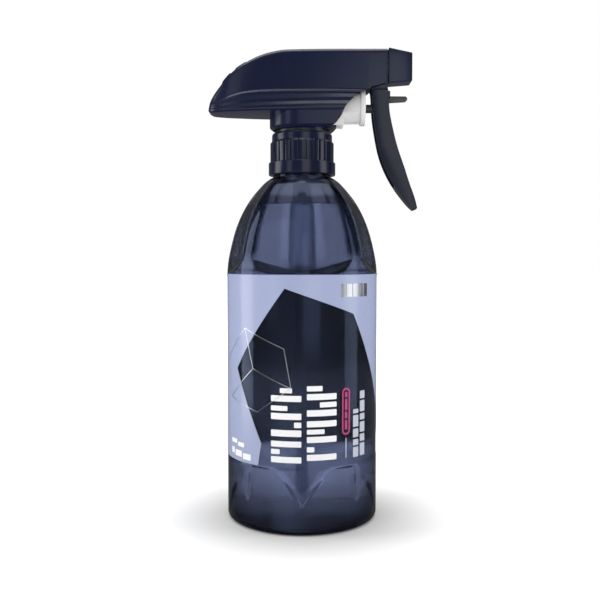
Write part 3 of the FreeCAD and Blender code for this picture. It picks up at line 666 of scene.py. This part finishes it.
S_CURVE = [(10.6, 184.3), (13.4, 185.3), (15.7, 186.9), (18.0, 189.9), (19.9, 193.9), (22.2, 197.05), (25.1, 199.6), (27.6, 201.5), (32.2, 203.9), (32.35, 204.55), (40.4, 206.65)]
SHELL = 1.35
SKIRT_R, SKIRT_CX, SKIRT_Z = 13.9, -1.5, 184.8


def section(x):
    t = lambda tab: float(pchip(tab, x))
    zt, wt, wh, wr = t(ZT), t(WT), t(WH), t(WR)
    z1, z2, z3, zr = t(ZR1), t(ZR2), t(ZR3), t(ZRIM)
    d = wr - wh
    g = min(1.0, (zt - z1) / 4.0)
    return [(0, zt + 0.2), (wt * 0.72, zt), (wt, zt - min(1.4, 0.35 * (zt - z1))), (wh, z1 + 0.9 * g), (wh + 0.32 * d, z1),
            (wh + 0.36 * d, z1 - 0.35 * (z1 - z2)), (wh + 0.64 * d, z2), (wh + 0.68 * d, z2 - 0.4 * (z2 - z3)), (wh + 0.97 * d, z3),
            (wr, zr + 0.45 * (z3 - zr)), (wr - 0.7, zr)]


def inner_section(x):
    o = section(x)
    w = SHELL
    top = o[0][1] - 0.2 - w
    return [(0, top), (max(o[1][0] - w * 0.6, 0.4), top), (max(o[2][0] - w, 0.8), max(o[2][1] - w, o[4][1] + 0.2)), (max(o[3][0] - w, 1.2), o[4][1] + 0.1),
            (max(o[8][0] - w - 0.3, 1.6), float(pchip(ZR3, x)) + 0.2), (max(o[9][0] - w - 0.3, 1.6), float(pchip(ZRIM, x)) + w)]


def ring(x, half, radii, shrink=0.0, n=3):
    """The whole section at x from its right half, with rounded corners."""
    pts = list(half) + [(-y, z) for y, z in half[:0:-1]]
    rr = list(radii) + list(radii[:0:-1])
    out = rounded(pts, rr, n)
    if shrink:
        c = np.mean(out, axis=0)
        out = [c + (p - c) * (1 - shrink / max(np.linalg.norm(p - c), 1e-6)) if np.linalg.norm(p - c) > shrink else c for p in out]
    return [(x * MM, p[0] * MM, p[1] * MM) for p in out]


def dee(name, r, z0, z1, xf, inset=0.0, n=48):
    rows = []
    zs = [(z0, inset), (z0 + 0.35, inset * 0.72), (z0 + 1.0, inset * 0.22), (z0 + 1.5, 0.0), (z1, 0.0)] if inset else [(z0, 0.0), (z1, 0.0)]
    for z, i in zs:
        q = r - i
        pts = [(SKIRT_CX + q * math.cos(t), q * math.sin(t)) for t in np.linspace(math.pi / 2, 3 * math.pi / 2, n)]
        pts += [(x, -q) for x in np.linspace(SKIRT_CX, xf, 12)[1:]] + [(x, q) for x in np.linspace(xf, SKIRT_CX, 12)[:-1]]
        rows.append([(x * MM, y * MM, z * MM) for x, y in pts])
    return loft(name, rows)


def prism(name, pts, half, y0=0.0):
    return loft(name, [[(x * MM, (y0 + s * half) * MM, z * MM) for x, z in pts] for s in (-1, 1)])


def smooth_path(pts, per=6):
    """Centripetal-like Catmull-Rom through points."""
    p = [np.array(q, float) for q in pts]
    p = [2 * p[0] - p[1]] + p + [2 * p[-1] - p[-2]]
    out = []
    for i in range(1, len(p) - 2):
        for j in range(per):
            t = j / per
            out.append(tuple(0.5 * ((2 * p[i]) + (-p[i - 1] + p[i + 1]) * t + (2 * p[i - 1] - 5 * p[i] + 4 * p[i + 1] - p[i + 2]) * t * t
                                    + (-p[i - 1] + 3 * p[i] - 3 * p[i + 1] + p[i + 2]) * t ** 3)))
    out.append(tuple(p[-2]))
    return out


OUT_R = [3.0, 1.0, 1.0, 1.6, 0.35, 0.35, 0.35, 0.35, 0.35, 0.5, 0.3]
IN_R = [1.0, 0.8, 1.0, 1.0, 0.8, 0.6]


def shroud():
    rings = []
    for x, s in ((-44.5, 1.1), (-44.42, 0.65), (-44.22, 0.3), (-43.95, 0.1)):
        rings.append(ring(x, section(x), OUT_R, s))
    for x in np.concatenate([np.linspace(-43.6, -34, 26), np.linspace(-33.5, 40.1, 74)]):
        rings.append(ring(x, section(x), OUT_R))
    rings.append(ring(40.3, section(40.3), OUT_R, 0.08))
    rings.append(ring(40.4, section(40.4), OUT_R, 0.25))
    body = loft("shroud_cover", rings)
    boolean(body, dee("skirt", SKIRT_R, SKIRT_Z, 193.4, 24.0, 1.6), "UNION")
    xi = np.concatenate([np.linspace(-41.0, -30, 16), np.linspace(-29, 38.9, 40)])
    boolean(body, loft("inner", [ring(x, inner_section(x), IN_R) for x in xi]), "DIFFERENCE")
    boolean(body, dee("bore", SKIRT_R - 1.5, SKIRT_Z - 1, 194.6, 30.0), "DIFFERENCE")
    path = smooth_path(S_CURVE[:8], 6) + smooth_path(S_CURVE[8:], 1)
    boolean(body, prism("front_cut", [(10.6, 180)] + path + [(46, 206.65), (46, 180)], 30), "DIFFERENCE")
    hole = [[(x * MM, 4.3 * MM * math.cos(t), (214.2 + 4.3 * math.sin(t)) * MM) for t in np.linspace(0, 2 * math.pi, 48, endpoint=False)] for x in (38.0, 42.0)]
    boolean(body, loft("barrel_hole", hole), "DIFFERENCE")
    # two raised grips for the thumb web, with rounded edges
    for i, (a, b) in enumerate(((-38.2, -33.6), (-32.0, -26.2))):
        rows = []
        n = 12
        for k in range(n + 1):
            x = a + (b - a) * k / n
            zt = float(pchip(ZT, x))
            edge = min(k, n - k) / n * (b - a)
            lift = 0.62 * (1 - math.exp(-edge / 0.25))
            half = 3.4 - 0.5 * math.exp(-edge / 0.3)
            pts = [(-half, zt - 0.8), (-half, zt + 0.35 * lift), (-half + 0.3, zt + lift), (half - 0.3, zt + lift), (half, zt + 0.35 * lift), (half, zt - 0.8)]
            rows.append([(x * MM, y * MM, z * MM) for y, z in pts])
        boolean(body, loft("grip_%d" % i, rows), "UNION")
    clean(body, 2e-6)
    dress(body, HEAD, 32)
    return place(body, "sprayer", "shroud", slot="head_plastic")


# ---------------------------------------------------------------- springs
def spring(name, node, radius, wire, h0, h1, turns, axis, at, mat, body):
    """A closed coil: path points in a helix with flat end turns, and a round section."""
    pts = []
    n = int(turns * 40)
    for i in range(n + 1):
        s = i / n
        t = min(max((s * turns - 0.75) / (turns - 1.5), 0.0), 1.0)
        h = h0 + wire + (h1 - h0 - 2 * wire) * (0.06 * s + 0.94 * t)
        a = 2 * math.pi * turns * s
        pts.append(Vector((radius * math.cos(a), radius * math.sin(a), h)))
    verts, faces, m = [], [], 12
    for i, p in enumerate(pts):
        d = (pts[min(i + 1, n)] - pts[max(i - 1, 0)]).normalized()
        u = Vector((p.x, p.y, 0)).normalized()
        v = d.cross(u).normalized()
        for j in range(m):
            a = 2 * math.pi * j / m
            verts.append(p + (u * math.cos(a) + v * math.sin(a)) * wire)
    for i in range(n):
        for j in range(m):
            k = (j + 1) % m
            faces.append((i * m + j, i * m + k, (i + 1) * m + k, (i + 1) * m + j))
    faces += [tuple(range(m))[::-1], tuple(range(n * m, (n + 1) * m))]
    if axis == "X":
        verts = [(v[2], v[0], v[1]) for v in verts]
    verts = [tuple((np.array(v) + np.array(at)) * MM) for v in verts]
    ob = new_object(name, verts, faces, mat, 60)
    clean(ob, 1e-8)
    return place(ob, body, node, slot="spring_steel")


# ---------------------------------------------------------------- everything
def parts():
    bottle()
    fluid()
    label()
    shroud()
    lever = softened("trigger", "trigger_lever", 0.45 * MM, TRIGGER, 40, 3)
    for i, s in enumerate((-1, 1)):
        boolean(lever, prism("groove_%d" % i, [(30.0, 203.75), (42.0, 203.75), (42.0, 204.05), (30.0, 204.05)], 0.35, s * 5.45), "DIFFERENCE")
    dress(lever, TRIGGER, 40)
    place(lever, "trigger", "trigger", slot="head_plastic")
    place(softened("nozzle_cap", "nozzle_block", 0.5 * MM, HEAD, 40, 3), "nozzle", "nozzle_cap", slot="head_plastic")
    place(softened("closure_collar", "collar_ring", 0.16 * MM, COLLAR, 40, 2), "closure", "closure_collar", slot="collar_plastic")
    place(softened("pump_body", "pump_casting", 0.25 * MM, WHITE, 40, 2), "sprayer", "pump_body", slot="white_plastic")
    place(softened("piston_rod", "piston_shaft", 0.2 * MM, ROD, 40, 2), "piston", "piston_rod", slot="dark_plastic")
    place(softened("stop_tab", "stop_clip", 0.25 * MM, DARK, 40, 2), "sprayer", "stop_tab", slot="dark_plastic")
    place(softened("base_clip", "base_latch", 0.2 * MM, DARK, 40, 2), "sprayer", "base_clip", slot="dark_plastic")
    a = spring("piston_spring", "return_spring", 3.5, 0.4, 12.52, 17.36, 3.6, "X", (0, 0, 196.0), STEEL, "sprayer")
    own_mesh(a)
    b = spring("valve_spring", "outlet_spring", 1.65, 0.2, 208.35, 215.85, 7, "Z", (0, 0, 0), STEEL, "sprayer")
    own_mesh(b)
    looks = {"dip_tube": TUBE, "inlet_valve_seat": NATURAL, "neck_gasket": RUBBER, "neck_connector": DARK, "inlet_ball": BALL,
             "riser_plug": WHITE, "outlet_valve": NATURAL, "piston_cup": RUBBER, "vent_seal": RUBBER, "nozzle_stem": WHITE,
             "nozzle_seal": RUBBER, "swirl_insert": NATURAL, "orifice_disc": ROD}
    for node, mat in looks.items():
        ob = NODES[node]
        ob.data.materials.clear()
        ob.data.materials.append(mat)
        for p in ob.data.polygons:
            p.material_index = 0


# ---------------------------------------------------------------- camera, floor and light
def aim(ob, target):
    ob.rotation_euler = (Vector(target) - ob.location).to_track_quat("-Z", "Y").to_euler()


def softbox(name, azimuth, height, dist, width, tall, power, look=0.11):
    a = math.radians(azimuth)
    d = bpy.data.lights.new(name, "AREA")
    d.shape, d.size, d.size_y, d.energy = "RECTANGLE", width, tall, power
    ob = bpy.data.objects.new(name, d)
    bpy.context.scene.collection.objects.link(ob)
    ob.location = (dist * math.sin(a), -dist * math.cos(a), height)
    aim(ob, (0, 0, look))
    ob.visible_camera = False
    ob.visible_transmission = False
    return ob


def studio():
    cam = bpy.data.cameras.new("camera")
    ob = bpy.data.objects.new("camera", cam)
    bpy.context.scene.collection.objects.link(ob)
    cam.lens, cam.sensor_width = 48.32, 36.0
    ob.location = (-0.00097, -0.38901, 0.12297)
    ob.rotation_euler = (math.radians(90 - 2.795), 0, 0)
    cam.clip_start, cam.clip_end = 0.01, 50
    bpy.context.scene.camera = ob

    # floor: a disc of fine rings, flat, pale
    n, rings_ = 96, [0.0, 0.05, 0.1, 0.2, 0.4, 0.8, 1.6, 3.2, 6.0]
    verts, faces = [(0, 0, 0)], []
    for r in rings_[1:]:
        verts += [(r * math.cos(2 * math.pi * j / n), r * math.sin(2 * math.pi * j / n), 0) for j in range(n)]
    for j in range(n):
        faces.append((0, 1 + j, 1 + (j + 1) % n))
    for i in range(len(rings_) - 2):
        for j in range(n):
            k = (j + 1) % n
            faces.append((1 + i * n + j, 1 + (i + 1) * n + j, 1 + (i + 1) * n + k, 1 + i * n + k))
    m, nt, b = material("floor_pale")
    nt.links.new(ramp(nt, grain(nt, 3.0, 2.0).outputs[0], [(0.3, (0.93, 0.93, 0.93)), (0.7, (0.95, 0.95, 0.95))]).outputs[0], b.inputs["Base Color"])
    b.inputs["Roughness"].default_value = 0.9
    b.inputs["Specular IOR Level"].default_value = 0.0
    b.inputs["Emission Color"].default_value = (1, 1, 1, 1)
    tc, ln = nt.nodes.new("ShaderNodeTexCoord"), nt.nodes.new("ShaderNodeVectorMath")
    ln.operation = "LENGTH"
    nt.links.new(tc.outputs["Object"], ln.inputs[0])
    far = nt.nodes.new("ShaderNodeMapRange")
    far.interpolation_type = "SMOOTHSTEP"
    far.inputs["From Min"].default_value, far.inputs["From Max"].default_value = 0.10, 0.5
    far.inputs["To Min"].default_value, far.inputs["To Max"].default_value = 0.0, 1.0
    nt.links.new(ln.outputs["Value"], far.inputs["Value"])
    # the floor's glow fades out close to the bottle: a painted contact shadow round its foot
    contact_shadow_ramp = nt.nodes.new("ShaderNodeMapRange")
    contact_shadow_ramp.interpolation_type = "SMOOTHSTEP"
    contact_shadow_ramp.inputs["From Min"].default_value, contact_shadow_ramp.inputs["From Max"].default_value = 0.034, 0.085
    contact_shadow_ramp.inputs["To Min"].default_value, contact_shadow_ramp.inputs["To Max"].default_value = 0.0, 0.33
    nt.links.new(ln.outputs["Value"], contact_shadow_ramp.inputs["Value"])
    both = nt.nodes.new("ShaderNodeMath")
    nt.links.new(contact_shadow_ramp.outputs[0], both.inputs[0])
    nt.links.new(far.outputs[0], both.inputs[1])
    nt.links.new(both.outputs[0], b.inputs["Emission Strength"])
    floor = new_object("floor", verts, faces, m, 0)
    floor.location = (0, 0, -0.00002)
    floor.visible_glossy = False

    softbox("key_left", -90, 0.24, 0.62, 0.28, 0.66, 1.5)
    softbox("wash_left", -44, 0.42, 0.90, 0.28, 0.80, 0.55)
    softbox("fill_front", 14, 0.30, 0.85, 0.40, 0.66, 0.75)
    softbox("key_right", 78, 0.24, 0.62, 0.28, 0.66, 0.9)
    top = softbox("top", 180, 0.75, 0.12, 0.7, 0.5, 2.2)
    aim(top, (0, 0, 0.2))

    w = bpy.data.worlds.new("studio")
    bpy.context.scene.world = w
    w.use_nodes = True
    nt = w.node_tree
    nt.nodes.clear()
    out = nt.nodes.new("ShaderNodeOutputWorld")
    tc, sep = nt.nodes.new("ShaderNodeTexCoord"), nt.nodes.new("ShaderNodeSeparateXYZ")
    nt.links.new(tc.outputs["Generated"], sep.inputs[0])

    def level(lo, hi, a, b, axis="Y"):
        """Brightness that rises with how far a direction points to the back of the studio, or up."""
        r = nt.nodes.new("ShaderNodeMapRange")
        r.interpolation_type = "SMOOTHSTEP"
        for k, v in (("From Min", a), ("From Max", b), ("To Min", lo), ("To Max", hi)):
            r.inputs[k].default_value = v
        nt.links.new(sep.outputs[axis], r.inputs["Value"])
        return r.outputs[0]

    def calc(op, p, q):
        n = nt.nodes.new("ShaderNodeMath")
        n.operation = op
        for i, v in enumerate((p, q)):
            if isinstance(v, (int, float)):
                n.inputs[i].default_value = v
            else:
                nt.links.new(v, n.inputs[i])
        return n.outputs[0]

    lp = nt.nodes.new("ShaderNodeLightPath")
    gloss = calc("MULTIPLY", calc("MULTIPLY", lp.outputs["Is Glossy Ray"], lp.outputs["Is Reflection Ray"]), calc("ADD", level(0.05, 0.14, 0.2, 0.95), level(0.0, 0.25, 0.55, 0.95, "Z")))
    low = calc("MULTIPLY", calc("MULTIPLY", level(1.0, 0.0, -0.90, -0.55, "Y"), level(1.0, 0.0, -0.26, -0.07, "Z")), level(1.25, 0.25, -0.45, 0.45, "X"))
    gloss = calc("ADD", gloss, calc("MULTIPLY", lp.outputs["Is Reflection Ray"], calc("MULTIPLY", lp.outputs["Is Glossy Ray"], low)))
    clear = calc("MULTIPLY", lp.outputs["Is Transmission Ray"], level(0.04, 1.0, 0.45, 0.92))
    soft = calc("MULTIPLY", lp.outputs["Is Diffuse Ray"], 0.50)
    total = calc("ADD", calc("ADD", lp.outputs["Is Camera Ray"], gloss), calc("ADD", clear, soft))
    bg = nt.nodes.new("ShaderNodeBackground")
    bg.inputs[0].default_value = (1, 1, 1, 1)
    nt.links.new(total, bg.inputs[1])
    nt.links.new(bg.outputs[0], out.inputs[0])
    # plain colours straight to the screen
    bpy.context.scene.view_settings.view_transform = "Standard"


studio()
parts()
